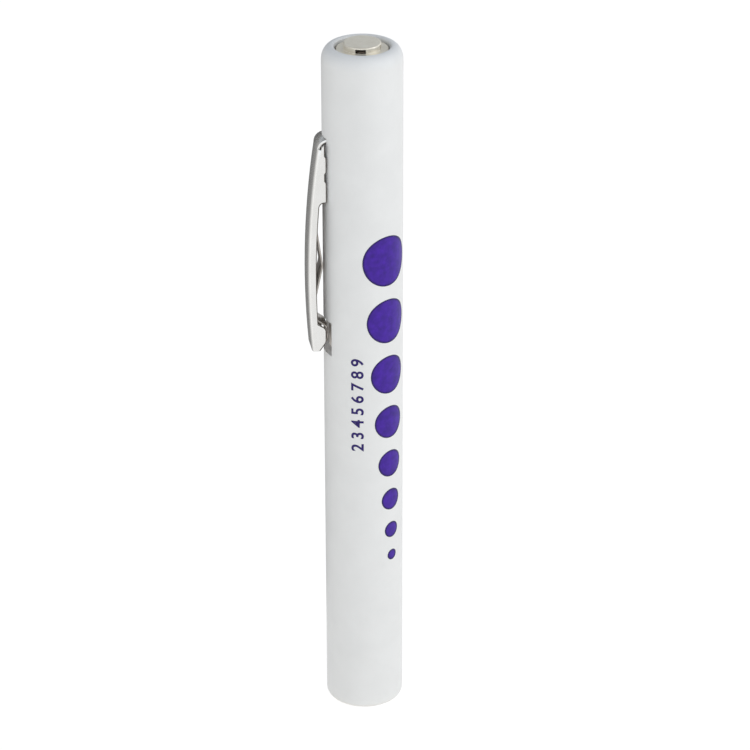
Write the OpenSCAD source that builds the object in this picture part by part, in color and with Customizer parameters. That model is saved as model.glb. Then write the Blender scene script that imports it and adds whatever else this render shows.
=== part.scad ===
// Two-cell penlight with a sprung pocket clip that is also its switch
// Lengths in millimetres, +Z up along the barrel, front rim at z = 0, clip on the -X side

/* [Cells] */
// Diameter of one dry cell over its jacket
cell_d = 10.3; // [9.8:0.1:10.5]
// Length of one dry cell from pip to negative plate
cell_len = 44.5; // [43.3:0.1:44.6]
// Room all round between a cell and the bore
cell_play = 0.35; // [0.35:0.05:0.5]
// Diameter of the positive pip
pip_d = 3.8; // [3.2:0.1:4.2]
// Height of the positive pip
pip_height = 0.9; // [0.8:0.1:1.2]
// Thickness of the cell's jacket
jacket_t = 0.1; // [0.06:0.02:0.2]
// Width of the nylon seal round the negative plate
seal_w = 0.9; // [0.6:0.1:1.2]
// Depth of the seal and the plate in the can
seal_depth = 1; // [0.8:0.1:1.5]

/* [Barrel] */
// Wall of the moulded barrel
barrel_wall = 1.2; // [1.15:0.05:1.5]
// Thickness of the front wall round the lens
front_wall = 1.6; // [1.2:0.1:2]
// Rounding of the front edge
front_fillet = 1.1; // [0.6:0.1:1.4]
// Bevel inside the front opening
front_bevel = 0.6; // [0.3:0.1:0.8]
// Height of the rounded shoulder at the tail
shoulder_height = 2.4; // [2.2:0.1:2.8]
// Opening that the rolled tail rim leaves
tail_opening_d = 9.2; // [8.8:0.1:9.4]
// Rounding of the tail rim
rim_fillet = 0.4; // [0.2:0.05:0.5]
// Thickness of the rolled tail rim
rim_t = 1.2; // [1:0.1:1.3]

/* [Lamp] */
// How far the lens stands back from the front rim
lens_recess = 0.5; // [0.3:0.1:1]
// Length of the lamp from lens to contact tip
lamp_len = 23.8; // [23:0.1:25]
// Distance from the lens to the filament
filament_drop = 5.2; // [4.8:0.1:5.6]
// Diameter of the lens
lens_d = 6.4; // [5.6:0.1:6.6]
// Room round the lens in the front opening
lens_room = 0.4; // [0.2:0.1:0.6]
// Diameter of the glass envelope
bulb_d = 9.2; // [8.8:0.1:9.4]
// Room round the envelope in the front chamber
bulb_room = 0.4; // [0.3:0.1:0.45]
// Wall of the glass envelope
glass_t = 0.6; // [0.4:0.1:0.8]
// Diameter of the envelope's neck in the screw shell
neck_d = 7.8; // [7:0.1:7.9]
// Outside diameter of the screw shell
thread_d = 9.5; // [9.3:0.1:9.6]
// Depth of the rolled thread
thread_depth = 0.45; // [0.3:0.05:0.5]
// Pitch of the rolled thread
thread_pitch = 1.8; // [1.6:0.1:2]
// Length of the screw shell
shell_len = 9; // [8:0.5:9.5]
// Room left in the screw shell behind the envelope
neck_room = 2; // [1.8:0.1:2.4]
// Sheet of the screw shell
shell_t = 0.25; // [0.2:0.05:0.3]
// Height of the black glass insulator below the shell
insulator_height = 1.3; // [1:0.1:1.6]
// Diameter of the contact tip
tip_d = 2.8; // [2:0.1:3.2]
// Height of the contact tip below the insulator
tip_height = 0.8; // [0.5:0.1:1]
// Distance between the two filament posts
post_gap = 2; // [1.6:0.1:2.4]
// Diameter of a filament post
post_d = 0.4; // [0.3:0.05:0.5]
// Diameter of the glass bead that ties the posts
bead_d = 3; // [2.8:0.1:3.4]
// Diameter of the coiled filament
filament_d = 0.16; // [0.1:0.02:0.2]

/* [Conductors] */
// Sheet of the brass conductors
strip_t = 0.25; // [0.2:0.05:0.25]
// Width of the conductor strip round the bore, in degrees
strip_angle = 54; // [40:1:58]
// How far the contact pad is raised into the window
pad_rise = 0.3; // [0.2:0.05:0.3]
// Width of the tail lead round the bore, in degrees
lead_angle = 36; // [24:1:40]

/* [Tail cap] */
// Diameter of the nub on the tail cap
nub_d = 6.2; // [5.8:0.1:6.6]
// Height of the nub above its shelf
nub_height = 1.05; // [0.9:0.05:1.3]
// How far the nub stands above the barrel's rim
nub_proud = 0.55; // [0.3:0.05:0.8]
// Sheet of the tail cap
cap_t = 0.3; // [0.2:0.05:0.35]
// Room between the cap's collar and the rolled rim
collar_room = 0.3; // [0.2:0.05:0.4]
// Length of the cap's straight skirt
skirt_len = 2.1; // [1.5:0.1:2.5]
// Number of vents round the nub
vent_count = 4; // [2:1:4]
// Angle of the first vent from the +X side
vent_turn = -104; // [-180:2:180]
// Width of a vent
vent_w = 1.7; // [1:0.1:2]
// Height of a vent
vent_h = 0.7; // [0.4:0.1:0.75]

/* [Tail spring] */
// Wire of the tail spring
wire_d = 0.5; // [0.4:0.05:0.6]
// Outside diameter of the tail spring
spring_d = 5.2; // [4.6:0.1:5.2]
// Length of the tail spring in the closed light
spring_len = 9.3; // [8:0.05:10]
// Turns of the tail spring
spring_turns = 5; // [4:1:6]

/* [Pocket clip] */
// Width of the clip
clip_w = 5.4; // [4.8:0.1:5.6]
// Sheet of the clip
clip_t = 0.5; // [0.4:0.05:0.55]
// Distance from the tail rim down to the top of the clip
clip_drop = 15.25; // [12:0.05:18]
// Length of the clip
clip_len = 38.05; // [36:0.05:40]
// Distance from the top of the clip to the crown of its bow
crown_drop = 25.1; // [23:0.1:27]
// Radius of the clip's bow
bow_r = 158; // [150:1:170]
// Radius of the curl at the top of the clip
curl_r = 1.8; // [1.7:0.1:2]
// Radius of the bend from face to flange
channel_bend = 0.9; // [0.6:0.1:1.1]
// Depth of the narrow flange along the middle
flange_depth = 1.3; // [1.1:0.05:1.4]
// Gap between the toothed flange and the barrel
flange_gap = 0.16; // [0.14:0.02:0.3]
// Length of the toothed flange
tooth_run = 9.1; // [8:0.1:11]
// Teeth on each flange
tooth_count = 2; // [2:1:4]
// Depth of the scoops between the teeth
tooth_depth = 0.25; // [0.1:0.05:0.35]
// Depth of the rounded lobe at the foot, from the clip's face
lobe_depth = 2.65; // [2.5:0.05:2.8]
// Length of the rounded lobe at the foot
lobe_len = 5.05; // [4.7:0.05:5.3]
// Height over which the lobe draws in towards the tip of the foot
toe_rise = 1.7; // [1.5:0.05:2]
// Length of the hook inside the barrel wall
hook_len = 2.2; // [1.6:0.1:2.6]
// Width of the curl and the hook
hook_w = 4.2; // [3.6:0.1:4.4]

/* [Leaf spring] */
// Sheet of the leaf spring under the clip
leaf_t = 0.3; // [0.2:0.05:0.3]
// Width of the leaf spring
leaf_w = 3.8; // [3:0.1:3.8]
// Gap between the leaf's knee and the barrel
knee_gap = 0.28; // [0.28:0.02:0.5]
// Height of the knee above the clip's foot
knee_rise = 15.4; // [15:0.1:16]
// Length of the knee's upper slope
knee_reach = 9.4; // [8.8:0.1:9.8]
// How far the contact nose dips below the barrel's surface
nose_dip = 0.5; // [0.45:0.05:0.55]
// Height of the contact nose above the clip's foot
nose_rise = 3.05; // [2.9:0.05:3.2]

/* [Window] */
// Height of the window's middle above the clip's foot
window_rise = 2.3; // [2.1:0.05:2.5]
// Height of the window in the barrel
window_h = 6.1; // [5.8:0.1:6.6]
// Width of the window in the barrel
window_w = 6.4; // [6:0.1:7]

/* [Hidden] */

// Smoothness of revolved pieces and steps in one drawn arc
$fn = 72;
arc_steps = 8;
// Narrow fit between pieces that seat on each other, and room round pieces that move
fit = 0.05;
play = 0.15;
// Spare length that makes a cut pass right through
past = 1;

// Radii of the barrel
bore_r = cell_d / 2 + cell_play;
barrel_r = bore_r + barrel_wall;
chamber_r = bulb_d / 2 + bulb_room;
opening_r = lens_d / 2 + lens_room;
tail_opening_r = tail_opening_d / 2;

// Stack of heights from the front rim to the tail
lamp_z = lens_recess;
lamp_end_z = lamp_z + lamp_len;
insulator_end_z = lamp_end_z - tip_height;
shell_end_z = insulator_end_z - insulator_height;
shell_z = shell_end_z - shell_len;
front_cell_z = lamp_end_z;
rear_cell_z = front_cell_z + cell_len;
spring_z = rear_cell_z + cell_len;
nub_z = spring_z + spring_len + cap_t;
rim_z = nub_z - nub_proud;
shoulder_z = rim_z - shoulder_height;
rim_rise = shoulder_height - rim_t;

// Socket sleeve of the lamp and the step in the bore that it rests on
socket_lead = 1;
socket_z = shell_z - socket_lead;
thread_mid_r = (thread_d - thread_depth) / 2;

// Places along the clip, from its top
clip_top_z = rim_z - clip_drop;
clip_foot_z = clip_top_z - clip_len;
crown_z = clip_top_z - crown_drop;
knee_z = clip_foot_z + knee_rise;
tooth_z = clip_top_z - curl_r;
tooth_end_z = tooth_z - tooth_run;
lobe_z = clip_foot_z + lobe_len;

// Hook in the barrel wall, the curl above it and the bow that runs into the curl
hook_bend = 0.3;
hook_r = bore_r + clip_t / 2;
curl_centre = [hook_r + hook_bend, clip_top_z - curl_r];
curl_start = asin((crown_drop - curl_r) / (bow_r - curl_r));
bow_centre = [curl_centre[0] - (bow_r - curl_r) * cos(curl_start), crown_z];
hook_end_z = clip_top_z - hook_len;

// Contact nose of the leaf, and the window and pad that it dips into
nose_r = barrel_r - nose_dip;
nose_z = clip_foot_z + nose_rise;
window_z = clip_foot_z + window_rise - window_h / 2;
pad_margin = 0.2;
strip_r = bore_r - fit - strip_t / 2;
strip_start_z = socket_z + 2 * socket_lead;
strip_spare = 2.5;
strip_end_z = window_z + window_h + strip_spare;

// Tail lead in its groove
lead_z = clip_top_z + 2 * fit;
lead_end_z = shoulder_z - 2 * fit;

// Points along an arc about c from angle a to angle b
function arc(c, r, a, b) =
    [for (i = [0:arc_steps]) c + r * [cos(a + (b - a) * i / arc_steps), sin(a + (b - a) * i / arc_steps)]];

// Unit vector
function unit(v) = v / norm(v);

// Arc of radius r that replaces the corner b between a and c
function corner(a, b, c, r) =
    let (u = unit(a - b), w = unit(c - b), half = acos(u * w) / 2)
    let (m = b + unit(u + w) * r / sin(half), s = b + u * r / tan(half) - m, e = b + w * r / tan(half) - m)
    let (first = atan2(s[1], s[0]), turn = (atan2(e[1], e[0]) - first + 540) % 360 - 180)
    arc(m, r, first, first + turn);

// Open route with each inner corner rounded to its own radius
function rounded(p, radii) = [
    p[0],
    for (i = [1:len(p) - 2]) each corner(p[i - 1], p[i], p[i + 1], radii[i - 1]),
    p[len(p) - 1]
];

// List in reverse order
function turned(p) = [for (i = [len(p) - 1:-1:0]) p[i]];

// Route moved sideways by d
function beside(p, d) = [
    for (i = [0:len(p) - 1])
        let (t = unit(p[min(i + 1, len(p) - 1)] - p[max(i - 1, 0)]))
        p[i] + d * [-t[1], t[0]]
];

// Outline of a strip of sheet t thick whose middle follows a route
function strip(p, t) = concat(beside(p, t / 2), turned(beside(p, -t / 2)));

// Radius of the clip's outer face at height z
function face_r(z) = bow_centre[0] + sqrt(pow(bow_r, 2) - pow(z - crown_z, 2));

// Middle of a leaf that lies on the inside of the clip's face at height z
function leaf_seat(z) = [face_r(z) - clip_t - leaf_t / 2 - fit, z];

// Rounded shoulder from the straight wall at radius r, in to radius inner and up by rise
function shoulder(r, inner, rise) =
    let (steps = 2 * arc_steps)
    [for (i = [0:steps])
        [inner + (r - inner) * cos(90 * i / steps), shoulder_z + rise * sin(90 * i / steps)]];

// Wave of the rolled thread between two heights, moved out by d
function thread(z0, z1, d) =
    let (steps = ceil((z1 - z0) / thread_pitch) * arc_steps)
    [for (i = [0:steps])
        let (z = z0 + (z1 - z0) * i / steps)
        [thread_mid_r + d + thread_depth / 2 * cos(360 * (z - shell_z) / thread_pitch), z]];

// Turns what is drawn towards +X to the clip's side
module clip_side() {
    rotate([0, 0, 180]) children();
}

// Plate of width w drawn from the side, in radius and height
module side_plate(w) {
    rotate([90, 0, 0]) linear_extrude(w, center = true) children();
}

// Part of a revolved section, a degrees wide about +X
module revolved(a) {
    rotate([0, 0, -a / 2]) rotate_extrude(angle = a) children();
}

// Barrel

module barrel_section() {
    crest_r = tail_opening_r + rim_fillet;
    front = rounded([[opening_r + front_bevel, 0], [barrel_r, 0], [barrel_r, shoulder_z]], [front_fillet]);
    outside = shoulder(barrel_r, crest_r, shoulder_height);
    rim = arc([crest_r, rim_z - rim_fillet], rim_fillet, 90, 180);
    inside = turned(shoulder(bore_r, tail_opening_r, rim_rise));
    chamber = [[bore_r, socket_z], [chamber_r, socket_z], [chamber_r, front_wall], [opening_r, front_wall],
        [opening_r, front_bevel]];
    polygon(concat(front, outside, rim, inside, chamber));
}

// Groove for the tail lead, pocket and slot for the clip's hook, and window over the contact pad
module barrel_cuts() {
    slot_z = curl_centre[1] + sqrt(pow(curl_r - clip_t, 2) - pow(barrel_r - curl_centre[0], 2)) - 2 * play;
    pocket_z = hook_end_z - 2 * play;
    cut_w = hook_w + 2 * play;
    groove_len = lead_end_z + fit - lead_z + play;
    revolved(lead_angle + 2) translate([0, lead_z - play]) square([bore_r + strip_t + fit, groove_len]);
    cut_end_z = clip_top_z + play;
    translate([0, -cut_w / 2, pocket_z]) cube([hook_r + clip_t / 2 + play, cut_w, cut_end_z - pocket_z]);
    translate([0, -cut_w / 2, slot_z]) cube([barrel_r + past, cut_w, cut_end_z - slot_z]);
    translate([0, -window_w / 2, window_z]) cube([barrel_r + past, window_w, window_h]);
}

module barrel() {
    color("whitesmoke")
    difference() {
        rotate_extrude() barrel_section();
        clip_side() barrel_cuts();
    }
}

// Lamp

// Sleeve with a rolled thread that takes the lamp and a notch for the conductor
module lamp_socket() {
    color("goldenrod")
    difference() {
        rotate_extrude() polygon(concat(
            turned(thread(socket_z, shell_end_z, fit)),
            [[bore_r - fit, socket_z], [bore_r - fit, shell_end_z]]));
        clip_side() revolved(strip_angle + 2) translate([strip_r - strip_t / 2 - fit, strip_start_z - fit])
            square([barrel_r, shell_len]);
    }
}

// Envelope drawn in from the lens to the neck, moved in by d behind the lens
module envelope(d, front_z, back_z) {
    r = bulb_d / 2 - d;
    lens = lens_d / 2 - d;
    neck = neck_d / 2 - d;
    lens_end_z = lamp_z + lens_d * 0.4 + d / 2;
    wide_z = lens_end_z + bulb_d * 0.13;
    neck_z = shell_z - thread_depth;
    narrow_z = neck_z - bulb_d * 0.23;
    lens_round = lens * 0.7;
    front = [[0, front_z], [lens, front_z], [lens, lens_end_z], [r, wide_z]];
    back = [[r, narrow_z], [neck, neck_z], [neck, back_z], [0, back_z]];
    polygon(rounded(concat(front, back), [lens_round, 0.4, 1, 1.6, 0.8, 0.5]));
}

module lamp_glass() {
    lens_depth = 3;
    color("aliceblue", 0.5)
    rotate_extrude() difference() {
        envelope(0, lamp_z, post_floor_z + glass_t);
        envelope(glass_t, lamp_z + lens_depth, post_floor_z);
    }
}

// Height of the filament, and of the glass floor that carries the posts
post_top_z = lamp_z + filament_drop;
post_floor_z = shell_end_z - neck_room - glass_t;

module lamp_posts() {
    color("silver")
    for (side = [-1, 1])
        translate([side * post_gap / 2, 0, post_top_z]) cylinder(h = post_floor_z - post_top_z, d = post_d);
}

module lamp_bead() {
    bead_h = 1.6;
    color("lightsteelblue")
    translate([0, 0, (post_top_z + post_floor_z) / 2]) difference() {
        cylinder(h = bead_h, d = bead_d);
        for (side = [-1, 1])
            translate([side * post_gap / 2, 0, -past]) cylinder(h = bead_h + 2 * past, d = post_d + fit);
    }
}

module lamp_filament() {
    color("dimgray")
    translate([0, 0, post_top_z - filament_d / 2]) rotate([-90, 0, 0]) rotate_extrude(angle = 180)
        translate([post_gap / 2, 0]) circle(d = filament_d, $fn = 24);
}

module lamp_shell() {
    color("gold")
    rotate_extrude() polygon(concat(
        thread(shell_z, shell_end_z, 0),
        turned(thread(shell_z, shell_end_z, -shell_t))));
}

module lamp_insulator() {
    seat_r = thread_mid_r - thread_depth / 2 - shell_t - fit;
    seat_depth = 1;
    color("black")
    difference() {
        rotate_extrude() polygon([[0, shell_end_z - seat_depth], [seat_r, shell_end_z - seat_depth],
            [seat_r, shell_end_z], [tip_d / 2 + 1, insulator_end_z], [0, insulator_end_z]]);
        translate([0, 0, shell_end_z]) cylinder(h = insulator_height + past, d = tip_d + 2 * fit);
    }
}

module lamp_tip() {
    tip_round = 0.4;
    color("silver")
    rotate_extrude() polygon(rounded([[0, shell_end_z], [tip_d / 2, shell_end_z], [tip_d / 2, lamp_end_z],
        [0, lamp_end_z]], [fit, tip_round]));
}

// Conductors

module conductor_strip() {
    pad_r = strip_r + pad_rise;
    low_z = window_z + pad_margin;
    high_z = window_z + window_h - pad_margin;
    route = [[strip_r, strip_start_z], [strip_r, low_z], [pad_r, low_z + 2 * pad_rise],
        [pad_r, high_z - 2 * pad_rise], [strip_r, high_z], [strip_r, strip_end_z]];
    color("darkkhaki")
    clip_side() revolved(strip_angle) polygon(strip(route, strip_t));
}

module tail_lead() {
    color("darkkhaki")
    clip_side() revolved(lead_angle) translate([bore_r, lead_z]) square([strip_t, lead_end_z - lead_z]);
}

// Dry cells

// Depth of the jacket's turned-in ends
jacket_lap = 0.6;
can_r = cell_d / 2 - jacket_t;
plate_r = can_r - seal_w - jacket_t;

module cell_can(z) {
    color("silver")
    translate([0, 0, z]) rotate_extrude() polygon(rounded(
        [[0, 0], [pip_d / 2, 0], [pip_d / 2, pip_height], [can_r, pip_height], [can_r, cell_len - jacket_t],
            [can_r - jacket_t, cell_len - jacket_t], [can_r - jacket_t, cell_len - seal_depth],
            [0, cell_len - seal_depth]],
        [0.3, 0.2, 0.5, 0.02, 0.02, 0.02]));
}

module cell_jacket(z) {
    middle_r = can_r + jacket_t / 2;
    lap_z = pip_height - jacket_t / 2;
    end_z = cell_len - jacket_t;
    sleeve = rounded([[can_r - jacket_lap, lap_z], [middle_r, lap_z], [middle_r, end_z]], [0.5]);
    color("royalblue")
    translate([0, 0, z]) rotate_extrude() polygon(strip(sleeve, jacket_t));
}

module cell_seal(z) {
    color("darkslategray")
    translate([0, 0, z + cell_len - seal_depth]) difference() {
        cylinder(h = seal_depth - 2 * jacket_t, r = can_r - jacket_t - fit);
        translate([0, 0, -past]) cylinder(h = seal_depth + 2 * past, r = plate_r + fit);
    }
}

module cell_plate(z) {
    edge = 0.35;
    color("gainsboro")
    translate([0, 0, z + cell_len - seal_depth]) rotate_extrude() polygon(rounded(
        [[0, 0], [plate_r, 0], [plate_r, seal_depth - edge], [plate_r - edge, seal_depth], [0, seal_depth]],
        [fit, 0.15, 0.3]));
}

module front_cell_can() {
    cell_can(front_cell_z);
}

module front_cell_jacket() {
    cell_jacket(front_cell_z);
}

module front_cell_seal() {
    cell_seal(front_cell_z);
}

module front_cell_plate() {
    cell_plate(front_cell_z);
}

module rear_cell_can() {
    cell_can(rear_cell_z);
}

module rear_cell_jacket() {
    cell_jacket(rear_cell_z);
}

module rear_cell_seal() {
    cell_seal(rear_cell_z);
}

module rear_cell_plate() {
    cell_plate(rear_cell_z);
}

// Tail spring and cap

// Middle of the spring's wire, eight places to a turn
turn_places = 8;
wire_sides = 6;
coil_r = (spring_d - wire_d) / 2;
coil_rise = spring_len - wire_d - 2 * fit;
places = spring_turns * turn_places;

function coil_point(i) =
    [coil_r * cos(360 * i / turn_places), coil_r * sin(360 * i / turn_places),
        spring_z + fit + wire_d / 2 + coil_rise * i / places];

// Ring of points round the wire at place i, square to the coil
function coil_ring(i) =
    let (a = 360 * i / turn_places, slope = atan(coil_rise / (spring_turns * 360) * 180 / PI / coil_r))
    let (out = [cos(a), sin(a), 0], up = [sin(a) * sin(slope), -cos(a) * sin(slope), cos(slope)])
    [for (k = [0:wire_sides - 1])
        coil_point(i) + wire_d / 2 * (cos(360 * k / wire_sides) * out + sin(360 * k / wire_sides) * up)];

// Least free gap between turns, taken between places half a turn or more apart
coil_gap = min([
    for (i = [0:places], j = [i + turn_places / 2:1:places])
        norm(coil_point(i) - coil_point(j))
]) - wire_d;
echo(tail_spring_least_gap_mm = coil_gap);

module tail_spring() {
    points = [for (i = [0:places]) each coil_ring(i)];
    walls = [
        for (i = [0:places - 1], k = [0:wire_sides - 1])
            let (a = i * wire_sides + k, b = i * wire_sides + (k + 1) % wire_sides)
            each [[a, b, b + wire_sides], [a, b + wire_sides, a + wire_sides]]
    ];
    last = places * wire_sides;
    ends = [for (k = [1:wire_sides - 2]) each [[0, k + 1, k], [last, last + k, last + k + 1]]];
    color("lightgray")
    polyhedron(points, concat(walls, ends));
}

module cap_section() {
    skirt_r = bore_r - play;
    collar_r = tail_opening_r - collar_room;
    shelf_z = nub_z - nub_height;
    skirt_z = shoulder_z - skirt_len;
    inner_r = skirt_r - cap_t;
    rise = rim_rise - play;
    outside = concat(
        rounded([[0, nub_z], [nub_d / 2, nub_z], [nub_d / 2, shelf_z], [collar_r, shelf_z],
            [collar_r, shoulder_z + rise]], [0.25, 0.12, 0.2]),
        turned(shoulder(skirt_r, collar_r, rise)));
    inside = concat(
        shoulder(inner_r, collar_r - cap_t, rise - cap_t),
        rounded([[collar_r - cap_t, shoulder_z + rise - cap_t], [collar_r - cap_t, shelf_z - cap_t],
            [nub_d / 2 - cap_t, shelf_z - cap_t], [nub_d / 2 - cap_t, nub_z - cap_t], [0, nub_z - cap_t]],
            [0.08, 0.2, 0.08]));
    polygon(concat(outside, [[skirt_r, skirt_z], [inner_r, skirt_z]], inside));
}

// Stamped cap with vents pierced round its nub
module tail_cap() {
    color("silver")
    difference() {
        rotate_extrude() cap_section();
        for (i = [0:vent_count - 1])
            rotate([0, 0, i * 360 / vent_count + vent_turn])
                translate([nub_d / 4, -vent_w / 2, nub_z - nub_height + fit])
                    cube([nub_d / 2, vent_w, vent_h]);
    }
}

// Pocket clip

// Channel section, its outer face at x = bow_r, with bent corners and deep flanges
module channel_section() {
    depth = curl_r + lobe_depth;
    half = clip_w / 2;
    bend_middle = channel_bend - clip_t / 2;
    face = bow_r - clip_t / 2;
    wall = half - clip_t / 2;
    route = rounded([[bow_r - depth, -wall], [face, -wall], [face, wall], [bow_r - depth, wall]],
        [bend_middle, bend_middle]);
    polygon(strip(route, clip_t));
}

// Bowed channel from below the foot to the start of the curl
module bowed_channel() {
    low = -asin((crown_z - clip_foot_z + past) / bow_r);
    translate([bow_centre[0], 0, crown_z]) rotate([90, 0, 0]) rotate([0, 0, low])
        rotate_extrude(angle = curl_start - low, $fn = 360) channel_section();
}

// Radius of the toothed edge of the flange
root_r = sqrt(pow(barrel_r, 2) - pow(clip_w / 2 - clip_t, 2)) + flange_gap;

// Radius of the toothed edge in its scoops, of the lobe at the foot, and of the tip that the lobe draws in to
scoop_r = root_r + tooth_depth;
lobe_r = face_r(lobe_z) - lobe_depth;
toe_r = lobe_r + lobe_depth * 0.45;

// Side view of the clip: toothed flange, narrow flange and rounded lobe at the foot
module flange_outline() {
    far_r = face_r(crown_z) + past;
    pitch = tooth_run / (tooth_count - 0.4);
    step_len = 1.8;
    step_round = 0.9;
    slit_len = 0.8;
    scoops = [for (i = [1:tooth_count - 1]) let (z = tooth_z - i * pitch)
        each [[root_r, z + pitch * 0.35], [scoop_r, z + pitch * 0.28],
            [scoop_r, z + pitch * 0.07], [root_r, z]]];
    middle = [for (i = [0:arc_steps])
        let (z = tooth_end_z - step_len + (lobe_z - tooth_end_z + step_len) * i / arc_steps)
        [face_r(z) - flange_depth, z]];
    step_r = face_r(tooth_end_z) - flange_depth;
    step = corner([root_r, tooth_end_z], [step_r, tooth_end_z], middle[0], step_round);
    foot = rounded([middle[arc_steps], [lobe_r, lobe_z - lobe_depth / 3], [lobe_r, clip_foot_z + toe_rise],
        [toe_r, clip_foot_z], [face_r(clip_foot_z), clip_foot_z], [face_r(lobe_z) + play, lobe_z]],
        [1, 0.9, 0.8, 0.3]);
    polygon(concat(
        [[far_r, clip_top_z], [face_r(tooth_z) - clip_t, clip_top_z - curl_r / 2],
            [face_r(tooth_z) - channel_bend, tooth_z - slit_len], [scoop_r + fit, tooth_z],
            [scoop_r + fit, tooth_z - slit_len], [root_r, tooth_z - 1.5 * slit_len]],
        scoops, [[root_r, tooth_end_z]], step, middle, foot, [[far_r, lobe_z]]));
}

// Narrow tip of the flange under the curl, seen from the side
module tip_outline() {
    slit = 0.1;
    tip_r = curl_r - clip_t - slit;
    tip_low = tooth_z - curl_r;
    polygon(concat(
        arc(curl_centre, tip_r, 0, acos((scoop_r - curl_centre[0]) / tip_r)),
        [[scoop_r, tip_low], [scoop_r + clip_t / 2, tip_low]]));
}

// Front view of the clip with rounded foot corners
module foot_outline() {
    foot_round = 0.3;
    half = clip_w / 2;
    polygon(rounded([[half, clip_top_z], [half, clip_foot_z], [-half, clip_foot_z], [-half, clip_top_z]],
        [foot_round, foot_round]));
}

// Bend of sheet t thick and w wide, with inner radius r about c, from angle a to angle b
module sheet_bend(c, r, t, a, b, w) {
    translate([c[0], 0, c[1]]) rotate([90, 0, 0]) rotate([0, 0, a])
        rotate_extrude(angle = b - a) translate([r, -w / 2]) square([t, w]);
}

// Curl over the top, run into the bowed face, and hook down behind the barrel wall, run into the curl
module clip_hook() {
    bend_z = clip_top_z - clip_t / 2 - hook_bend;
    run_in = 12;
    lead_in = 20;
    skin = 0.02;
    sheet_bend(curl_centre, curl_r - clip_t + skin, clip_t - 2 * skin, curl_start - run_in, 90, hook_w);
    sheet_bend([curl_centre[0], bend_z], hook_bend - clip_t / 2, clip_t, 90 - lead_in, 180, hook_w);
    translate([bore_r, -hook_w / 2, hook_end_z]) cube([clip_t, hook_w, bend_z - hook_end_z]);
}

module pocket_clip() {
    color("lightslategray")
    clip_side() {
        intersection() {
            bowed_channel();
            side_plate(clip_w) flange_outline();
            rotate([90, 0, 90]) linear_extrude(2 * barrel_r) foot_outline();
        }
        for (side = [-1, 1])
            translate([0, side * (clip_w - clip_t) / 2, 0]) side_plate(clip_t) tip_outline();
        clip_hook();
    }
}

// Leaf that bends to a knee near the barrel and ends in the contact nose
module clip_leaf() {
    weld_len = 4;
    nose_middle = nose_r + leaf_t / 2;
    nose_half = 1.1;
    nose_lead = 0.9;
    lower_share = 0.85;
    route = rounded([
        leaf_seat(knee_z + knee_reach + weld_len),
        leaf_seat(knee_z + knee_reach),
        [barrel_r + knee_gap + leaf_t / 2, knee_z],
        leaf_seat(knee_z - knee_reach * lower_share),
        leaf_seat(lobe_z + nose_lead),
        [nose_middle, nose_z + nose_half],
        [nose_middle, nose_z - nose_half],
        [toe_r - clip_t, clip_foot_z + clip_t]
    ], [1, 0.8, 1, 0.5, 1, 1.2]);
    color("lightgray")
    clip_side() side_plate(leaf_w) polygon(strip(route, leaf_t));
}

barrel();
lamp_socket();
lamp_glass();
lamp_bead();
lamp_posts();
lamp_filament();
lamp_shell();
lamp_insulator();
lamp_tip();
conductor_strip();
tail_lead();
front_cell_can();
front_cell_jacket();
front_cell_seal();
front_cell_plate();
rear_cell_can();
rear_cell_jacket();
rear_cell_seal();
rear_cell_plate();
tail_spring();
tail_cap();
pocket_clip();
clip_leaf();
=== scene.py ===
"""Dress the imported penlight: finishes, printed gauge, softened metal edges, studio and camera."""
import logging
import math
from dataclasses import dataclass, field, replace
from enum import Enum
from typing import Any

import bmesh
import bpy
from mathutils import Matrix, Vector


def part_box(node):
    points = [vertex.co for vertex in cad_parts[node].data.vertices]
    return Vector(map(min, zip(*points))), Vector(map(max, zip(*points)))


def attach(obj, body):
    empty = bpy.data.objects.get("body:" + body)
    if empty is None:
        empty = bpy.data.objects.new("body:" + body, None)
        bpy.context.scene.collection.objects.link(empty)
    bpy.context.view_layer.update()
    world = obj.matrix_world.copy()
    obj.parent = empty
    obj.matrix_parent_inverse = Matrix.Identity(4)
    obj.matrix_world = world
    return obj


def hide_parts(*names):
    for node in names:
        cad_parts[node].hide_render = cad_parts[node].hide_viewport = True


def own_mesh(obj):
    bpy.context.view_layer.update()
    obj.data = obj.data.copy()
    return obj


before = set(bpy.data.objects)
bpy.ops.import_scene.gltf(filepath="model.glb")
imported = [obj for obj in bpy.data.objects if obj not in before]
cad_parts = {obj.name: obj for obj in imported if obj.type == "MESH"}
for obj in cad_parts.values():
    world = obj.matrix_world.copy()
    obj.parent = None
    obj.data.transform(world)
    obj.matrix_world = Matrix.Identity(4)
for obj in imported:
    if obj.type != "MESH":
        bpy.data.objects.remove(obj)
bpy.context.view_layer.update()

LOG = logging.getLogger("penlight")
MM = 0.001
PHOTO_PIXELS = 750
PRINT_INSET = "print_inset"
STRIP_STRETCH = 40
PATCHES_FROM = 0.3
PATCHES_TO = 0.75


def linear(hex_colour: str) -> tuple[float, float, float, float]:
    """Turn an sRGB hex colour into linear RGBA.

    Args:
        hex_colour: Colour as "#RRGGBB".

    Returns:
        Linear red, green, blue and an alpha of 1.
    """
    channels = [int(hex_colour[i:i + 2], 16) / 255 for i in (1, 3, 5)]
    red, green, blue = (c / 12.92 if c <= 0.04045 else ((c + 0.055) / 1.055) ** 2.4 for c in channels)
    return red, green, blue, 1.0


def per_mm(size: float) -> float:
    """Return the texture scale, per metre, of a pattern that is size millimetres across."""
    return 1 / (size * MM)


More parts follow.
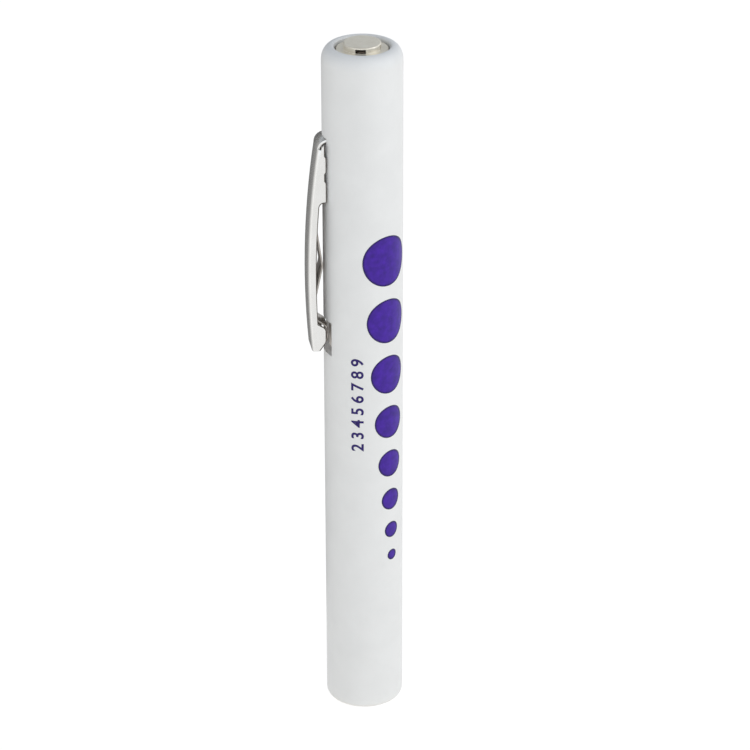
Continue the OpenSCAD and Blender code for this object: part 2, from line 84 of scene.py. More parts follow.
def add_node(
    tree: bpy.types.NodeTree,
    kind: str,
    settings: dict[str, Any] | None = None,
    inputs: dict[str | int, Any] | None = None,
) -> bpy.types.Node:
    """Add a node with its settings, its input values and its links.

    Args:
        tree: Tree that takes the node.
        kind: Blender's name of the node type.
        settings: Properties of the node.
        inputs: Input names or numbers, each with a value or with the output socket to link.

    Returns:
        The new node.
    """
    node = tree.nodes.new(kind)
    for name, value in (settings or {}).items():
        setattr(node, name, value)
    for key, value in (inputs or {}).items():
        if isinstance(value, bpy.types.NodeSocket):
            tree.links.new(value, node.inputs[key])
        else:
            node.inputs[key].default_value = value
    return node


def add_piece(name: str, data: bpy.types.ID, material: bpy.types.Material | None = None) -> bpy.types.Object:
    """Put data in the scene as an object at the origin.

    Args:
        name: Name of the object.
        data: Its mesh, curve, lamp or camera, in the frame's metres.
        material: Material for its one slot.

    Returns:
        The new object.
    """
    piece = bpy.data.objects.new(name, data)
    bpy.context.scene.collection.objects.link(piece)
    if material:
        data.materials.clear()
        data.materials.append(material)
    return piece


def bare_material(name: str) -> bpy.types.Material:
    """Return a new material whose node tree is empty."""
    material = bpy.data.materials.new(name)
    material.use_nodes = True
    material.node_tree.nodes.clear()
    return material


def baked_mesh(holder: bpy.types.Object) -> bpy.types.Mesh:
    """Turn an object's evaluated shape into a plain mesh and remove the object.

    Args:
        holder: Object whose modifiers or curve make the shape.

    Returns:
        The plain mesh.
    """
    graph = bpy.context.evaluated_depsgraph_get()
    graph.update()
    mesh = bpy.data.meshes.new_from_object(holder.evaluated_get(graph))
    bpy.data.objects.remove(holder)
    return mesh


class Grain(Enum):
    """How a surface was made, which sets the pattern that it shows."""

    MOULDED = "moulded"
    ROLLED = "rolled"
    STAMPED = "stamped"
    TARNISHED = "tarnished"
    PRINTED = "printed"
    CLEAR = "clear"


@dataclass(frozen=True)
class Finish:
    """One surface finish, with its colours, its gloss and the pattern that its making leaves."""

    name: str
    colour: str
    shade: str
    grain: Grain
    roughness: float
    metallic: float = 0.0
    ior: float = 1.5
    patch_mm: float = 3.0
    grain_mm: float = 0.2
    grain_depth_mm: float = 0.004
    roughness_spread: float = 0.08
    edge: str = "#2A1A66"
    edge_mm: float = 0.3
    crown_per_m: float = 0.0

    def build(self) -> bpy.types.Material:
        """Build the material with its node tree.

        Returns:
            The new material.
        """
        material = bpy.data.materials.new(self.name)
        material.use_nodes = True
        tree = material.node_tree
        shader = tree.nodes["Principled BSDF"]
        shader.inputs["Metallic"].default_value = self.metallic
        if not self.metallic:
            shader.inputs["IOR"].default_value = self.ior
        place = add_node(tree, "ShaderNodeTexCoord").outputs["Object"]
        self._colour(tree, shader, place)
        grain = self._grain(tree, place)
        self._gloss(tree, shader, self._relief(tree, place, grain), grain)
        if self.grain is Grain.CLEAR:
            shader.inputs["Transmission Weight"].default_value = 1.0
        return material

    def _colour(self, tree: bpy.types.NodeTree, shader: bpy.types.Node, place: bpy.types.NodeSocket) -> None:
        """Mix the colour and its shade in soft patches.

        Args:
            tree: The material's tree.
            shader: Its principled shader.
            place: Object coordinates.
        """
        patches = add_node(tree, "ShaderNodeTexNoise", inputs={
            "Vector": place, "Scale": per_mm(self.patch_mm), "Detail": 3.0, "Roughness": 0.55})
        ramp = add_node(tree, "ShaderNodeMapRange", inputs={
            "Value": patches.outputs["Fac"], "From Min": PATCHES_FROM, "From Max": PATCHES_TO})
        mixed = add_node(tree, "ShaderNodeMix", {"data_type": "RGBA"}, {
            "Factor": ramp.outputs["Result"], "A": linear(self.colour), "B": linear(self.shade)})
        if self.grain is Grain.PRINTED:
            mixed = self._print_edge(tree, mixed.outputs["Result"])
        tree.links.new(mixed.outputs["Result"], shader.inputs["Base Color"])

    def _print_edge(self, tree: bpy.types.NodeTree, colour: bpy.types.NodeSocket) -> bpy.types.Node:
        """Darken the print where the ink gathers along its edge.

        Args:
            tree: The material's tree.
            colour: Colour of the open print.

        Returns:
            The node that mixes the two.
        """
        inset = add_node(tree, "ShaderNodeAttribute", {"attribute_name": PRINT_INSET})
        near = add_node(tree, "ShaderNodeMapRange", inputs={
            "Value": inset.outputs["Fac"], "From Min": 0.0, "From Max": self.edge_mm * MM,
            "To Min": 1.0, "To Max": 0.0})
        return add_node(tree, "ShaderNodeMix", {"data_type": "RGBA"}, {
            "Factor": near.outputs["Result"], "A": colour, "B": linear(self.edge)})

    def _grain(self, tree: bpy.types.NodeTree, place: bpy.types.NodeSocket) -> bpy.types.NodeSocket:
        """Make the fine pattern of the finish.

        Args:
            tree: The material's tree.
            place: Object coordinates.

        Returns:
            Height of the pattern, from 0 to 1.
        """
        fine = per_mm(self.grain_mm)
        along = fine / STRIP_STRETCH if self.grain in (Grain.ROLLED, Grain.PRINTED) else fine
        stretched = add_node(tree, "ShaderNodeMapping", inputs={"Vector": place, "Scale": (fine, fine, along)})
        if self.grain is Grain.STAMPED:
            dimples = add_node(tree, "ShaderNodeTexVoronoi", {"feature": "SMOOTH_F1"}, {
                "Vector": stretched.outputs["Vector"], "Scale": 1.0, "Smoothness": 1.0})
            return dimples.outputs["Distance"]
        noise = add_node(tree, "ShaderNodeTexNoise", inputs={
            "Vector": stretched.outputs["Vector"], "Scale": 1.0, "Detail": 2.0, "Roughness": 0.6})
        return noise.outputs["Fac"]

    def _relief(
        self, tree: bpy.types.NodeTree, place: bpy.types.NodeSocket, grain: bpy.types.NodeSocket
    ) -> bpy.types.NodeSocket:
        """Turn the fine pattern into a height in metres, over a face crowned across its width.

        Args:
            tree: The material's tree.
            place: Object coordinates.
            grain: Height of the pattern, from 0 to 1.

        Returns:
            The height in metres.
        """
        relief = add_node(tree, "ShaderNodeMath", {"operation": "MULTIPLY"}, {
            0: grain, 1: self.grain_depth_mm * MM}).outputs[0]
        if not self.crown_per_m:
            return relief
        across = add_node(tree, "ShaderNodeSeparateXYZ", inputs={0: place}).outputs["Y"]
        square = add_node(tree, "ShaderNodeMath", {"operation": "MULTIPLY"}, {0: across, 1: across}).outputs[0]
        return add_node(tree, "ShaderNodeMath", {"operation": "MULTIPLY_ADD"}, {
            0: square, 1: -self.crown_per_m, 2: relief}).outputs[0]

    def _gloss(
        self,
        tree: bpy.types.NodeTree,
        shader: bpy.types.Node,
        relief: bpy.types.NodeSocket,
        grain: bpy.types.NodeSocket,
    ) -> None:
        """Drive roughness and bump from the fine pattern.

        Args:
            tree: The material's tree.
            shader: Its principled shader.
            relief: Height of the surface in metres.
            grain: Height of the pattern, from 0 to 1.
        """
        rough = add_node(tree, "ShaderNodeMapRange", inputs={
            "Value": grain, "To Min": self.roughness - self.roughness_spread,
            "To Max": self.roughness + self.roughness_spread})
        tree.links.new(rough.outputs["Result"], shader.inputs["Roughness"])
        bump = add_node(tree, "ShaderNodeBump", inputs={"Height": relief, "Strength": 1.0, "Distance": 1.0})
        tree.links.new(bump.outputs["Normal"], shader.inputs["Normal"])


# Satin ABS, moulded: soft neutral white, a broad sheen and a faint spark texture
SATIN_ABS = Finish("satin_moulded_abs", "#EDEDED", "#E8E8E8", Grain.MOULDED, 0.46, ior=1.53, patch_mm=6.0,
                   grain_mm=0.35, grain_depth_mm=0.006)
# Nickel plate on spring steel, tumbled: grey metal with a soft reflection and fine lines along the strip
SATIN_NICKEL = Finish("satin_nickel_on_steel", "#E6E5E3", "#DCDBD8", Grain.ROLLED, 0.26, metallic=1.0,
                      patch_mm=4.0, grain_mm=0.12, grain_depth_mm=0.003, crown_per_m=50.0)
# Painted shade: dark brownish steel for a thin line along the flanges' edges towards the barrel and downwards,
# standing in for the shadow gap and dark reflection there
GAP_SHADOW_STEEL = Finish("painted_gap_shadow_steel", "#6A635C", "#59524B", Grain.ROLLED, 0.42, metallic=1.0,
                       patch_mm=0.8, grain_mm=0.08)
# Oiled spring steel strip: pale brown grey, darker in patches, fine lines along the strip
SPRING_STEEL = Finish("oiled_spring_steel", "#B9B3AD", "#A29B94", Grain.ROLLED, 0.34, metallic=1.0,
                      patch_mm=1.5, grain_mm=0.1, grain_depth_mm=0.003)
# Nickel plate on stamped steel: warmer and lighter, with small handling marks
WARM_NICKEL = Finish("warm_stamped_nickel", "#F7F1E3", "#EDE5D5", Grain.STAMPED, 0.4, metallic=0.65,
                     patch_mm=1.2, grain_mm=0.3, grain_depth_mm=0.001)
# Tinned brass strip, slightly tarnished in patches; its colour is painted light, near white and hardly
# metallic, so that it shows lit in the deep, shaded window
PAINTED_LIGHT_BRASS = Finish("tinned_contact_brass", "#FAF6F2", "#EAE4DE", Grain.TARNISHED, 0.5, metallic=0.05,
                    patch_mm=1.2)
# Drawn brass sheet: yellow, with a soft drawn grain
DRAWN_BRASS = Finish("drawn_brass_sheet", "#CFA95A", "#B98F43", Grain.STAMPED, 0.3, metallic=1.0)
# Soda glass, blown: clear, with a faint ripple
LENS_GLASS = Finish("clear_soda_glass", "#FBFDFD", "#F5F9F9", Grain.CLEAR, 0.04, ior=1.5, patch_mm=8.0,
                    grain_mm=3.0, grain_depth_mm=0.002, roughness_spread=0.02)
# Fused bead glass: milky blue, glossy
BEAD_GLASS = Finish("fused_bead_glass", "#B9C8DC", "#A5B6CE", Grain.TARNISHED, 0.12)
# Pressed black glass: deep black, glossy with a slight orange peel
BLACK_GLASS = Finish("pressed_black_glass", "#141417", "#1E1E22", Grain.TARNISHED, 0.14, grain_mm=0.5)
# Nickel wire, drawn: bright and plain
BRIGHT_WIRE = Finish("drawn_nickel_wire", "#C9C9C7", "#B4B4B1", Grain.ROLLED, 0.25, metallic=1.0)
# Tungsten coil: dark grey metal
TUNGSTEN = Finish("coiled_tungsten", "#6A6A6C", "#545457", Grain.ROLLED, 0.4, metallic=1.0, grain_mm=0.05)
# Cast solder: soft grey with a frosted skin
SOLDER = Finish("cast_solder", "#BFC0C2", "#A2A3A6", Grain.TARNISHED, 0.38, metallic=1.0, patch_mm=0.8)
# Plated cell steel: bright with fine draw marks
CELL_STEEL = Finish("plated_cell_steel", "#C8C8C9", "#B6B6B8", Grain.STAMPED, 0.28, metallic=1.0)
# Shrink film over the cell: plain blue with a gloss
CELL_FILM = Finish("plain_shrink_film", "#3A5286", "#33497A", Grain.MOULDED, 0.24, grain_mm=0.8,
                   grain_depth_mm=0.003)
# Nylon seal, moulded: dark grey and matt
NYLON = Finish("moulded_grey_nylon", "#3A4040", "#323838", Grain.MOULDED, 0.55)
# Spring wire, oiled: dark brown grey with drawn lines
SPRING_WIRE = Finish("oiled_spring_wire", "#6A5E55", "#52483F", Grain.ROLLED, 0.34, metallic=1.0, grain_mm=0.08)
# Pad-printing ink: mottled purple with faint streaks along the barrel, and a dark rim where the ink gathers
GAUGE_INK = Finish("purple_gauge_ink", "#491FA6", "#351580", Grain.PRINTED, 0.45, ior=1.35, patch_mm=1.1,
                   grain_mm=0.25, grain_depth_mm=0.002, edge="#130A38", edge_mm=0.45)
# The same ink in thin strokes, which dry to an even dark navy
NUMBER_INK = replace(GAUGE_INK, name="navy_number_ink", edge="#2A1A66")


def dress(node: str, material: bpy.types.Material) -> None:
    """Give a carried-over node its material.

    Args:
        node: Name of the node.
        material: Material for all its slots.
    """
    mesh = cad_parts[node].data
    mesh.materials.clear()
    mesh.materials.append(material)
    LOG.info("%s dressed in %s", node, material.name)


@dataclass
class Studio:
    """Floor, lights, world and camera, sizes in millimetres and degrees."""

    camera_reach: float = 478.0
    camera_height: float = 302.1
    camera_azimuth: float = -9.0
    camera_pitch: float = 26.6
    camera_roll: float = -0.224
    focal_pixels: float = 3146.4
    axis_left_pixels: float = 11.55
    view_near: float = 10.0
    view_far: float = 20000.0
    floor_half: float = 3000.0
    floor_drop: float = 0.05
    floor_colour: str = "#EAE8E4"
    floor_shine_colour: str = "#FFEFD4"
    floor_shadowed: str = "#777777"
    floor_glow: float = 0.92
    sky_colour: str = "#F3F9FF"
    bright_side: float = -60.0
    dim_level: float = 0.86
    bright_level: float = 1.5
    zenith_share: float = 0.28
    floor_shine: float = 0.28
    screen_dark: float = 0.22
    screen_light: float = 1.35
    screen_delay: float = 2.0
    screen_start: float = -10.0
    screen_end: float = 130.0
    screen_near: float = 35.0
    screen_far: float = 240.0
    screen_foot: float = 1.0
    screen_rise: float = 210.0
    screen_steps: int = 28
    clip_out: float = 9.0
    key_place: tuple[float, float, float] = (520.0, -260.0, 420.0)
    key_aim: tuple[float, float, float] = (0.0, 0.0, 60.0)
    key_width: float = 300.0
    key_watts: float = 0.6

    def build(self) -> None:
        """Build the whole studio."""
        bpy.context.scene.view_settings.view_transform = "Standard"
        self.build_camera()
        self.build_floor()
        self.build_world()
        self.key_box()
        self.grey_screen()

    def build_camera(self) -> None:
        """Place the camera at the photograph's viewpoint."""
        turn = math.radians(self.camera_azimuth)
        pitch = math.radians(self.camera_pitch)
        level = Vector((-math.sin(turn), math.cos(turn), 0.0))
        forward = level * math.cos(pitch) - Vector((0, 0, math.sin(pitch)))
        right = Vector((math.cos(turn), math.sin(turn), 0.0))
        up = right.cross(forward)
        yaw = Matrix.Rotation(-math.atan(self.axis_left_pixels / self.focal_pixels), 3, up)
        forward, right = yaw @ forward, yaw @ right
        roll = Matrix.Rotation(math.radians(self.camera_roll), 3, -forward)
        right, up = roll @ right, roll @ up
        data = bpy.data.cameras.new("camera")
        data.sensor_fit = "HORIZONTAL"
        data.lens = self.focal_pixels / PHOTO_PIXELS * data.sensor_width
        data.clip_start = self.view_near * MM
        data.clip_end = self.view_far * MM
        camera = add_piece("camera", data)
        pose = Matrix((right, up, -forward)).transposed().to_4x4()
        pose.translation = (-level * self.camera_reach + Vector((0, 0, self.camera_height))) * MM
        camera.matrix_world = pose
        bpy.context.scene.camera = camera

    def build_floor(self) -> None:
        """Lay the pale floor, white to the camera apart from the object's shadow."""
        mesh = bpy.data.meshes.new("floor")
        half = self.floor_half * MM
        drop = -self.floor_drop * MM
        corners = [(-half, -half, drop), (half, -half, drop), (half, half, drop), (-half, half, drop)]
        mesh.from_pydata(corners, [], [(0, 1, 2, 3)])
        material = bare_material("pale_floor")
        tree = material.node_tree
        path = add_node(tree, "ShaderNodeLightPath")
        seen = add_node(tree, "ShaderNodeMath", {"operation": "MAXIMUM"}, {
            0: path.outputs["Is Camera Ray"], 1: path.outputs["Is Glossy Ray"]})
        seen = add_node(tree, "ShaderNodeMath", {"operation": "MAXIMUM"}, {
            0: seen.outputs[0], 1: path.outputs["Is Transmission Ray"]})
        plain = add_node(tree, "ShaderNodeBsdfDiffuse", inputs={"Color": linear(self.floor_colour)})
        shadowed = add_node(tree, "ShaderNodeBsdfDiffuse", inputs={"Color": linear(self.floor_shadowed)})
        shine = add_node(tree, "ShaderNodeEmission", inputs={
            "Color": linear(self.floor_shine_colour), "Strength": self.floor_shine})
        plain = add_node(tree, "ShaderNodeAddShader", inputs={0: plain.outputs[0], 1: shine.outputs[0]})
        glow = add_node(tree, "ShaderNodeEmission", inputs={
            "Color": linear("#FFFFFF"), "Strength": self.floor_glow})
        white = add_node(tree, "ShaderNodeAddShader", inputs={0: shadowed.outputs[0], 1: glow.outputs[0]})
        mixed = add_node(tree, "ShaderNodeMixShader", inputs={
            0: seen.outputs[0], 1: plain.outputs[0], 2: white.outputs[0]})
        add_node(tree, "ShaderNodeOutputMaterial", inputs={"Surface": mixed.outputs[0]})
        add_piece("floor", mesh, material)

    def build_world(self) -> None:
        """Light all softly, brighter from the right and less from above, white behind for camera and glass."""
        world = bpy.data.worlds.new("soft_room")
        world.use_nodes = True
        bpy.context.scene.world = world
        tree = world.node_tree
        tree.nodes.clear()
        path = add_node(tree, "ShaderNodeLightPath")
        seen = add_node(tree, "ShaderNodeMath", {"operation": "MAXIMUM"}, {
            0: path.outputs["Is Camera Ray"], 1: path.outputs["Is Transmission Ray"]})
        turn = math.radians(self.camera_azimuth + self.bright_side)
        way = add_node(tree, "ShaderNodeTexCoord").outputs["Generated"]
        across = add_node(tree, "ShaderNodeVectorMath", {"operation": "DOT_PRODUCT"}, {
            0: way, 1: (math.cos(turn), math.sin(turn), 0.0)}).outputs["Value"]
        level = add_node(tree, "ShaderNodeMapRange", {"interpolation_type": "SMOOTHSTEP"}, {
            "Value": across, "From Min": -1.0, "From Max": 1.0,
            "To Min": self.dim_level, "To Max": self.bright_level})
        upwards = add_node(tree, "ShaderNodeSeparateXYZ", inputs={0: way}).outputs["Z"]
        share = add_node(tree, "ShaderNodeMapRange", inputs={
            "Value": upwards, "To Min": 1.0, "To Max": self.zenith_share})
        level = add_node(tree, "ShaderNodeMath", {"operation": "MULTIPLY"}, {
            0: level.outputs["Result"], 1: share.outputs["Result"]})
        soft = add_node(tree, "ShaderNodeBackground", inputs={
            "Color": linear(self.sky_colour), "Strength": level.outputs[0]})
        white = add_node(tree, "ShaderNodeBackground", inputs={"Color": linear("#FFFFFF"), "Strength": 1.0})
        mixed = add_node(tree, "ShaderNodeMixShader", inputs={
            0: seen.outputs[0], 1: soft.outputs[0], 2: white.outputs[0]})
        add_node(tree, "ShaderNodeOutputWorld", inputs={"Surface": mixed.outputs[0]})

    def grey_screen(self) -> None:
        """Stand a curved screen round the clip, dark behind and lighter to the left, for reflections only."""
        steps = self.screen_steps
        corners = []
        for i in range(steps + 1):
            way = math.radians(self.screen_start + (self.screen_end - self.screen_start) * i / steps)
            for reach, height in ((self.screen_near, self.screen_foot), (self.screen_far, self.screen_rise)):
                left = self.clip_out + reach * math.sin(way)
                corners.append(Vector((-left, reach * math.cos(way), height)) * MM)
        mesh = bpy.data.meshes.new("grey_screen")
        mesh.from_pydata(corners, [], [(2 * i, 2 * i + 1, 2 * i + 3, 2 * i + 2) for i in range(steps)])
        material = bare_material("grey_screen")
        tree = material.node_tree
        place = add_node(tree, "ShaderNodeSeparateXYZ", inputs={
            0: add_node(tree, "ShaderNodeTexCoord").outputs["Object"]}).outputs
        left = add_node(tree, "ShaderNodeMath", {"operation": "MULTIPLY_ADD"}, {
            0: place["X"], 1: -1.0, 2: -self.clip_out * MM}).outputs[0]
        way = add_node(tree, "ShaderNodeMath", {"operation": "ARCTAN2"}, {0: left, 1: place["Y"]}).outputs[0]
        share = add_node(tree, "ShaderNodeMapRange", inputs={
            "Value": way, "From Min": 0.0, "From Max": math.radians(self.screen_end)}).outputs["Result"]
        late = add_node(tree, "ShaderNodeMath", {"operation": "POWER"}, {
            0: share, 1: self.screen_delay}).outputs[0]
        level = add_node(tree, "ShaderNodeMapRange", inputs={
            "Value": late, "To Min": self.screen_dark, "To Max": self.screen_light})
        glow = add_node(tree, "ShaderNodeEmission", inputs={
            "Color": linear("#FFFFFF"), "Strength": level.outputs["Result"]})
        add_node(tree, "ShaderNodeOutputMaterial", inputs={"Surface": glow.outputs[0]})
        screen = add_piece("grey_screen", mesh, material)
        for rays in ("camera", "diffuse", "transmission", "volume_scatter", "shadow"):
            setattr(screen, f"visible_{rays}", False)

    def key_box(self) -> None:
        """Hang one broad soft box on the right, facing the middle of the light."""
        data = bpy.data.lights.new("key_box", "AREA")
        data.size = self.key_width * MM
        data.energy = self.key_watts
        lamp = add_piece("key_box", data)
        lamp.location = Vector(self.key_place) * MM
        lamp.rotation_euler = (Vector(self.key_aim) * MM - lamp.location).to_track_quat("-Z", "Y").to_euler()


@dataclass
class Barrel:
    """Moulded barrel with its printed gauge, sizes in millimetres and degrees."""

    dot_count: int = 8
    first_dot: float = 9.0
    dot_step: float = 1.0
    dot_gap: float = 2.5
    first_dot_drop: float = 35.95
    line_angle: float = -61.5
    line_lean: float = 0.149
    ink_thickness: float = 0.03
    numbers: str = "2 3 4 5 6 7 8 9"
    numbers_middle: float = 60.3
    numbers_length: float = 17.4
    numbers_height: float = 2.2
    numbers_angle: float = -108.0
    numbers_weight: float = 0.02
    numbers_cuts: int = 12
    dot_sides: int = 96
    dot_rings: int = 12
    radius: float = field(init=False)
    tail: float = field(init=False)

    def __post_init__(self) -> None:
        """Take the barrel's radius and the height of its tail, in metres, from its solid."""
        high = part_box("barrel")[1]
        self.radius = high.x
        self.tail = high.z

    def build(self) -> None:
        """Dress the barrel and print its gauge."""
        dress("barrel", SATIN_ABS.build())
        for piece in (self.print_dots(GAUGE_INK.build()), self.print_numbers(NUMBER_INK.build())):
            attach(piece, "light")
            LOG.info("%s printed", piece.name)

    def print_dots(self, ink: bpy.types.Material) -> bpy.types.Object:
        """Print the row of gauge dots, each smaller than the last, wrapped on the barrel.

        Args:
            ink: Material of the print.

        Returns:
            The finished piece.
        """
        tree, sockets = self.dot_tree()
        holder = add_piece("gauge_holder", bpy.data.meshes.new("gauge_holder"))
        modifier = holder.modifiers.new("gauge", "NODES")
        modifier.node_group = tree
        values = {
            "Dot count": self.dot_count,
            "First diameter": self.first_dot * MM,
            "Diameter step": self.dot_step * MM,
            "Gap": self.dot_gap * MM,
            "First height": self.tail - self.first_dot_drop * MM,
            "Barrel radius": self.radius,
            "Ink thickness": self.ink_thickness * MM,
            "Line angle": math.radians(self.line_angle),
            "Line lean": math.radians(self.line_lean) / MM,
            "Ink": ink,
        }
        for name, value in values.items():
            modifier[sockets[name]] = value
        return add_piece("gauge_dots", baked_mesh(holder), ink)

    def dot_tree(self) -> tuple[bpy.types.NodeTree, dict[str, str]]:
        """Build the tree that draws the dots flat, in arc length and height, and wraps them.

        Returns:
            The tree, and the identifier of each named input.
        """
        tree = bpy.data.node_groups.new("gauge_dots", "GeometryNodeTree")
        kinds = {"Dot count": "Int", "Ink": "Material"}
        names = ("Dot count", "First diameter", "Diameter step", "Gap", "First height", "Barrel radius",
                 "Ink thickness", "Line angle", "Line lean", "Ink")
        sockets = {}
        for name in names:
            kind = "NodeSocket" + kinds.get(name, "Float")
            sockets[name] = tree.interface.new_socket(name, in_out="INPUT", socket_type=kind).identifier
        tree.interface.new_socket("Geometry", in_out="OUTPUT", socket_type="NodeSocketGeometry")
        given = add_node(tree, "NodeGroupInput").outputs

        def calc(operation: str, a: Any, b: Any = 0.0, c: Any = 0.0) -> bpy.types.NodeSocket:
            """Return the result of one sum on numbers or sockets."""
            return add_node(tree, "ShaderNodeMath", {"operation": operation}, {0: a, 1: b, 2: c}).outputs[0]

        index = add_node(tree, "GeometryNodeInputIndex").outputs[0]
        diameter = calc("SUBTRACT", given["First diameter"], calc("MULTIPLY", index, given["Diameter step"]))
        pitch = calc("ADD", given["First diameter"], given["Gap"])
        rise = calc("MULTIPLY", calc("MULTIPLY", calc("MULTIPLY", index, index), given["Diameter step"]), 0.5)
        height = calc("ADD", calc("SUBTRACT", given["First height"], calc("MULTIPLY", index, pitch)), rise)
        middle = add_node(tree, "ShaderNodeCombineXYZ", inputs={"Y": height}).outputs[0]
        row = add_node(tree, "GeometryNodePoints", inputs={"Count": given["Dot count"], "Position": middle})
        row = add_node(tree, "GeometryNodeStoreNamedAttribute", {"data_type": "FLOAT", "domain": "POINT"}, {
            "Geometry": row.outputs[0], "Name": "dot_width", "Value": diameter})
        disc = add_node(tree, "GeometryNodeMeshCylinder", {"fill_type": "TRIANGLE_FAN"}, {
            "Vertices": self.dot_sides, "Fill Segments": self.dot_rings, "Radius": 0.5,
            "Depth": given["Ink thickness"]})
        reach = add_node(tree, "ShaderNodeVectorMath", {"operation": "LENGTH"}, {
            0: add_node(tree, "GeometryNodeInputPosition").outputs[0]}).outputs["Value"]
        disc = add_node(tree, "GeometryNodeStoreNamedAttribute", {"data_type": "FLOAT", "domain": "POINT"}, {
            "Geometry": disc.outputs["Mesh"], "Name": "inset", "Value": calc("SUBTRACT", 0.5, reach)})
        spread = add_node(tree, "ShaderNodeCombineXYZ", inputs={
            "X": diameter, "Y": diameter, "Z": 1.0}).outputs[0]
        dots = add_node(tree, "GeometryNodeInstanceOnPoints", inputs={
            "Points": row.outputs[0], "Instance": disc.outputs[0], "Scale": spread})
        real = add_node(tree, "GeometryNodeRealizeInstances", inputs={0: dots.outputs[0]})
        inset, width = (add_node(tree, "GeometryNodeInputNamedAttribute", {"data_type": "FLOAT"}, {
            "Name": name}).outputs["Attribute"] for name in ("inset", "dot_width"))
        real = add_node(tree, "GeometryNodeStoreNamedAttribute", {"data_type": "FLOAT", "domain": "POINT"}, {
            "Geometry": real.outputs[0], "Name": PRINT_INSET, "Value": calc("MULTIPLY", inset, width)})
        flat = add_node(tree, "ShaderNodeSeparateXYZ", inputs={
            0: add_node(tree, "GeometryNodeInputPosition").outputs[0]}).outputs
        lean = calc("MULTIPLY", calc("SUBTRACT", given["First height"], flat["Y"]), given["Line lean"])
        arc = calc("DIVIDE", flat["X"], given["Barrel radius"])
        angle = calc("ADD", calc("ADD", given["Line angle"], lean), arc)
        out = calc("ADD", given["Barrel radius"], flat["Z"])
        wrapped = add_node(tree, "ShaderNodeCombineXYZ", inputs={
            "X": calc("MULTIPLY", out, calc("COSINE", angle)),
            "Y": calc("MULTIPLY", out, calc("SINE", angle)),
            "Z": flat["Y"]}).outputs[0]
        moved = add_node(tree, "GeometryNodeSetPosition", inputs={
            "Geometry": real.outputs[0], "Position": wrapped})
        inked = add_node(tree, "GeometryNodeSetMaterial", inputs={
            "Geometry": moved.outputs[0], "Material": given["Ink"]})
        add_node(tree, "NodeGroupOutput", inputs={"Geometry": inked.outputs[0]})
        return tree, sockets

    def print_numbers(self, ink: bpy.types.Material) -> bpy.types.Object:
        """Print plain numbers that read upwards beside the dots.

        Args:
            ink: Material of the print.

        Returns:
            The finished piece.
        """
        text = bpy.data.curves.new("gauge_numbers", "FONT")
        text.body = self.numbers
        text.offset = self.numbers_weight
        mesh = baked_mesh(add_piece("gauge_text", text))
        shape = bmesh.new()
        shape.from_mesh(mesh)
        xs = [v.co.x for v in shape.verts]
        ys = [v.co.y for v in shape.verts]
        for v in shape.verts:
            v.co.x = ((v.co.x - min(xs)) / (max(xs) - min(xs)) - 0.5) * self.numbers_length
            v.co.y = ((v.co.y - min(ys)) / (max(ys) - min(ys)) - 0.5) * self.numbers_height
        for i in range(1, self.numbers_cuts):
            level = (i / self.numbers_cuts - 0.5) * self.numbers_height
            faces = shape.verts[:] + shape.edges[:] + shape.faces[:]
            bmesh.ops.bisect_plane(shape, geom=faces, plane_co=(0, level, 0), plane_no=(0, 1, 0))
        bmesh.ops.triangulate(shape, faces=shape.faces[:])
        turn = math.radians(self.numbers_angle)
        for v in shape.verts:
            angle = turn - v.co.y * MM / self.radius
            out = self.radius + self.ink_thickness * MM / 2
            v.co = Vector((out * math.cos(angle), out * math.sin(angle), (self.numbers_middle + v.co.x) * MM))
        bmesh.ops.recalc_face_normals(shape, faces=shape.faces[:])
        shape.to_mesh(mesh)
        shape.free()
        return add_piece("gauge_numbers", mesh, ink)


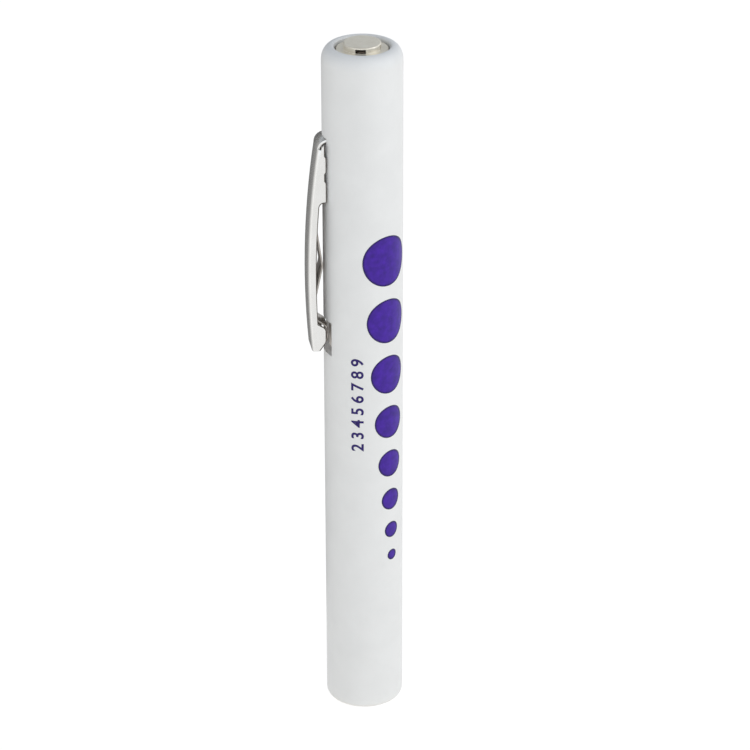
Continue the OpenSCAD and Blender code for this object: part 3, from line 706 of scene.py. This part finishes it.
@dataclass
class PocketClip:
    """Sprung clip and its leaf, sizes in millimetres and degrees."""

    clip_edge: float = 0.12
    leaf_edge: float = 0.05
    edge_steps: int = 2
    sharp_from: float = 35.0
    half_inside: float = 2.1
    gap_shadow_radius: float = 0.07
    merge_reach: float = 0.002
    flat_below: float = 0.5
    flank_least: float = 0.9
    cut_most: float = 0.3
    inward_least: float = 0.25

    def build(self) -> None:
        """Dress the clip and its leaf, with broken edges."""
        nickel = SATIN_NICKEL.build()
        spring = SPRING_STEEL.build()
        dress("pocket_clip", nickel)
        dress("clip_leaf", spring)
        clip = self.break_edges("pocket_clip", self.clip_edge, nickel)
        leaf = self.break_edges("clip_leaf", self.leaf_edge, spring)
        # Painted shade: a dark line along the flanges' edges on the barrel side, for the shadow gap there
        self.paint_gap_shadow()
        for piece, node, slot in ((clip, "pocket_clip", "clip_nickel"), (leaf, "clip_leaf", "leaf_steel")):
            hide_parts(node)
            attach(piece, "clip")
            LOG.info("%s with broken edges", piece.name)

    def merged(self, node: str) -> bmesh.types.BMesh:
        """Copy a stamped piece with its flat faces merged.

        Args:
            node: Name of the node that is copied.

        Returns:
            The merged copy, to be freed by the caller.
        """
        shape = bmesh.new()
        shape.from_mesh(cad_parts[node].data)
        bmesh.ops.remove_doubles(shape, verts=shape.verts[:], dist=self.merge_reach * MM)
        flat = math.radians(self.flat_below)
        bmesh.ops.dissolve_limit(shape, angle_limit=flat, verts=shape.verts[:], edges=shape.edges[:])
        return shape

    def takes_gap_shadow(self, edge: bmesh.types.BMEdge) -> bool:
        """Tell whether an edge lies between a flange's outer side and its cut towards the barrel or downwards.

        Args:
            edge: Edge of the merged clip.

        Returns:
            True for a sheared edge that shows.
        """
        out = edge.verts[0].co.y
        if len(edge.link_faces) != 2 or abs(out) < self.half_inside * MM:
            return False
        cut, side = sorted((face.normal for face in edge.link_faces), key=lambda way: abs(way.y))
        inward = cut.x > self.inward_least or cut.z < -self.inward_least
        return abs(side.y) > self.flank_least and abs(cut.y) < self.cut_most and inward and side.y * out > 0

    def paint_gap_shadow(self) -> None:
        """Draw a fine dark line of painted shade along the flanges, on the side of the barrel, for the shadow
        gap between clip and barrel.
        """
        shape = self.merged("pocket_clip")
        line = bpy.data.curves.new("gap_shadow_line", "CURVE")
        line.dimensions = "3D"
        line.bevel_depth = self.gap_shadow_radius * MM
        line.bevel_resolution = 1
        line.use_fill_caps = True
        for edge in filter(self.takes_gap_shadow, shape.edges):
            run = line.splines.new("POLY")
            run.points.add(1)
            for point, end in zip(run.points, edge.verts):
                point.co = (*end.co, 1.0)
        shape.free()
        holder = add_piece("edge_holder", line)
        piece = add_piece("clip_gap_shadow_line", baked_mesh(holder), GAP_SHADOW_STEEL.build())
        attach(piece, "clip")
        LOG.info("%s with %d runs", piece.name, len(line.splines))

    def break_edges(self, node: str, width: float, material: bpy.types.Material) -> bpy.types.Object:
        """Copy a stamped piece and round its sheared edges.

        Args:
            node: Name of the node that is copied.
            width: Width of the rounding in millimetres.
            material: Its material.

        Returns:
            The finished piece.
        """
        shape = self.merged(node)
        mesh = bpy.data.meshes.new(f"{node}_stamped")
        shape.to_mesh(mesh)
        shape.free()
        holder = add_piece("edge_holder", mesh)
        bevel = holder.modifiers.new("edge", "BEVEL")
        bevel.width = width * MM
        bevel.segments = self.edge_steps
        bevel.limit_method = "ANGLE"
        bevel.angle_limit = math.radians(self.sharp_from)
        mesh = baked_mesh(holder)
        mesh.shade_smooth()
        mesh.set_sharp_from_angle(angle=math.radians(self.sharp_from))
        return add_piece(f"{node}_stamped", mesh, material)


@dataclass
class Tail:
    """Tail cap, its spring and the lead beside it, sizes in millimetres."""

    press_travel: float = 1.0

    def build(self) -> None:
        """Dress the tail's pieces."""
        dress("tail_cap", WARM_NICKEL.build())
        dress("tail_lead", PAINTED_LIGHT_BRASS.build())
        self.sprung_coil()

    def sprung_coil(self) -> None:
        """Copy the spring into a piece of its own on the light's body."""
        wire = SPRING_WIRE.build()
        dress("tail_spring", wire)
        coil = add_piece("tail_spring_coil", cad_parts["tail_spring"].data.copy(), wire)
        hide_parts("tail_spring")
        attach(coil, "light")
        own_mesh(coil)
        LOG.info("%s shortens with the cap", coil.name)


@dataclass
class Lamp:
    """Lens-end lamp, its socket and the conductor that feeds it."""

    def build(self) -> None:
        """Dress the lamp's pieces."""
        brass = DRAWN_BRASS.build()
        for node in ("lamp_socket", "lamp_shell"):
            dress(node, brass)
        dress("lamp_glass", LENS_GLASS.build())
        dress("lamp_bead", BEAD_GLASS.build())
        dress("lamp_posts", BRIGHT_WIRE.build())
        dress("lamp_filament", TUNGSTEN.build())
        dress("lamp_insulator", BLACK_GLASS.build())
        dress("lamp_tip", SOLDER.build())
        # Painted light: the strip in the shaded window is near white so that it shows lit
        dress("conductor_strip", PAINTED_LIGHT_BRASS.build())


@dataclass
class Cells:
    """The two dry cells in the barrel."""

    names: tuple[str, ...] = ("front_cell", "rear_cell")

    def build(self) -> None:
        """Dress both cells alike."""
        steel = CELL_STEEL.build()
        film = CELL_FILM.build()
        nylon = NYLON.build()
        for name in self.names:
            dress(f"{name}_can", steel)
            dress(f"{name}_plate", steel)
            dress(f"{name}_jacket", film)
            dress(f"{name}_seal", nylon)


def main() -> None:
    """Build the studio and dress the light."""
    logging.basicConfig(level=logging.INFO, format="%(message)s")
    for assembly in (Studio(), Barrel(), PocketClip(), Tail(), Lamp(), Cells()):
        assembly.build()


if __name__ == "__main__":
    main()
